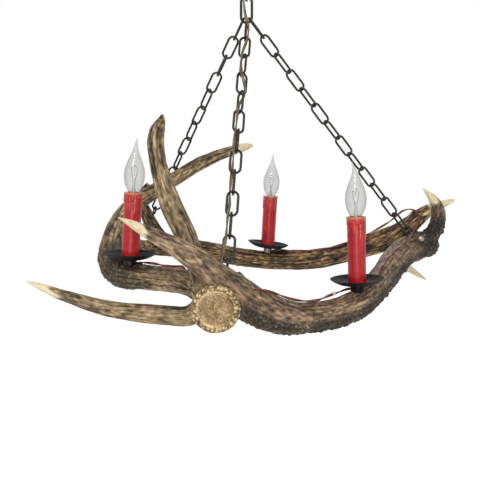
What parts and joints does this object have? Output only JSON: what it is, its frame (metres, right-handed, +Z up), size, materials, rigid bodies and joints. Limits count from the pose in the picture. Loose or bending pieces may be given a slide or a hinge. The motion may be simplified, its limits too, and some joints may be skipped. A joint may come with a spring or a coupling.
{
  "type": "antler chandelier",
  "caption": "Hanging chandelier of joined shed antlers on chains, with red candle sleeves, black drip pans and flame-shaped bulbs.",
  "frame": {"origin": "middle of the ceiling fitting, in the plane of the ceiling", "axes": "+Z up into the ceiling, -Y towards the side the picture shows, +X to the right of that view"},
  "size_m": [0.7037, 0.4843, 0.5969],
  "materials": {
    "antler": "matte",
    "black_paint": "matte",
    "black_phenolic": "satin",
    "brass": "satin",
    "bronze_chain": "satin",
    "bronze_paint": "satin",
    "brown_wire": "satin",
    "clear_glass": "gloss",
    "olive_flex": "satin",
    "red_resin": "satin",
    "white_nylon": "satin",
    "zinc_steel": "satin"
  },
  "bodies": {
    "ceiling_mount": {"ceiling_canopy": "bronze_paint", "mounting_strap": "zinc_steel", "canopy_loop": "bronze_paint", "collar_ring": "bronze_paint", "pipe_nut": "zinc_steel", "flex_cord_ceiling": "olive_flex"},
    "top_link_body": {"top_link": "bronze_chain", "flex_cord_link": "olive_flex"},
    "pendant": {"antler_back": "antler", "antler_front": "antler", "antler_left": "antler", "candle_hub_back": "zinc_steel", "candle_hub_front": "bronze_paint", "candle_hub_left": "bronze_paint", "candle_pipe_back": "zinc_steel", "candle_pipe_front": "zinc_steel", "candle_pipe_left": "zinc_steel", "candle_sleeve_back": "red_resin", "candle_sleeve_front": "red_resin", "candle_sleeve_left": "red_resin", "chain_front": "bronze_chain", "chain_left": "bronze_chain", "chain_right": "bronze_chain", "drip_pan_back": "black_paint", "drip_pan_front": "black_paint", "drip_pan_left": "black_paint", "feeder_wire_back": "brown_wire", "feeder_wire_front": "brown_wire", "feeder_wire_left": "brown_wire", "flex_cord_chain": "olive_flex", "lag_screws": "zinc_steel", "master_link": "bronze_chain", "pan_nut_back": "zinc_steel", "pan_nut_front": "zinc_steel", "pan_nut_left": "zinc_steel", "screw_eye_front": "bronze_chain", "screw_eye_left": "bronze_chain", "screw_eye_right": "bronze_chain", "socket_body_back": "black_phenolic", "socket_body_front": "black_phenolic", "socket_body_left": "black_phenolic", "socket_shell_back": "brass", "socket_shell_front": "brass", "socket_shell_left": "brass", "wire_clip": "white_nylon"},
    "bulb_front": {"bulb_cap_front": "brass", "bulb_glass_front": "clear_glass", "bulb_stem_front": "clear_glass"},
    "bulb_left": {"bulb_cap_left": "brass", "bulb_glass_left": "clear_glass", "bulb_stem_left": "clear_glass"},
    "bulb_back": {"bulb_cap_back": "brass", "bulb_glass_back": "clear_glass", "bulb_stem_back": "clear_glass"}
  },
  "joints": [
    {"name": "top_link_swing", "type": "hinge", "parent": "ceiling_mount", "child": "top_link_body", "pos_m": [0, 0, -0.062], "axis": [1, 0, 0], "range_deg": [-15, 15], "deforming": ["flex_cord_link"]},
    {"name": "pendant_sway", "type": "hinge", "parent": "top_link_body", "child": "pendant", "pos_m": [0, 0, -0.09635], "axis": [0, 1, 0], "range_deg": [-15, 15], "deforming": ["flex_cord_chain"]},
    {"name": "bulb_front_out", "type": "slide", "parent": "pendant", "child": "bulb_front", "axis": [-0.0384, 0, 0.9993], "range_m": [0, 0.03]},
    {"name": "bulb_left_out", "type": "slide", "parent": "pendant", "child": "bulb_left", "axis": [0.0698, 0, 0.9976], "range_m": [0, 0.03]},
    {"name": "bulb_back_out", "type": "slide", "parent": "pendant", "child": "bulb_back", "axis": [0.0523, 0, 0.9986], "range_m": [0, 0.03]}
  ]
}
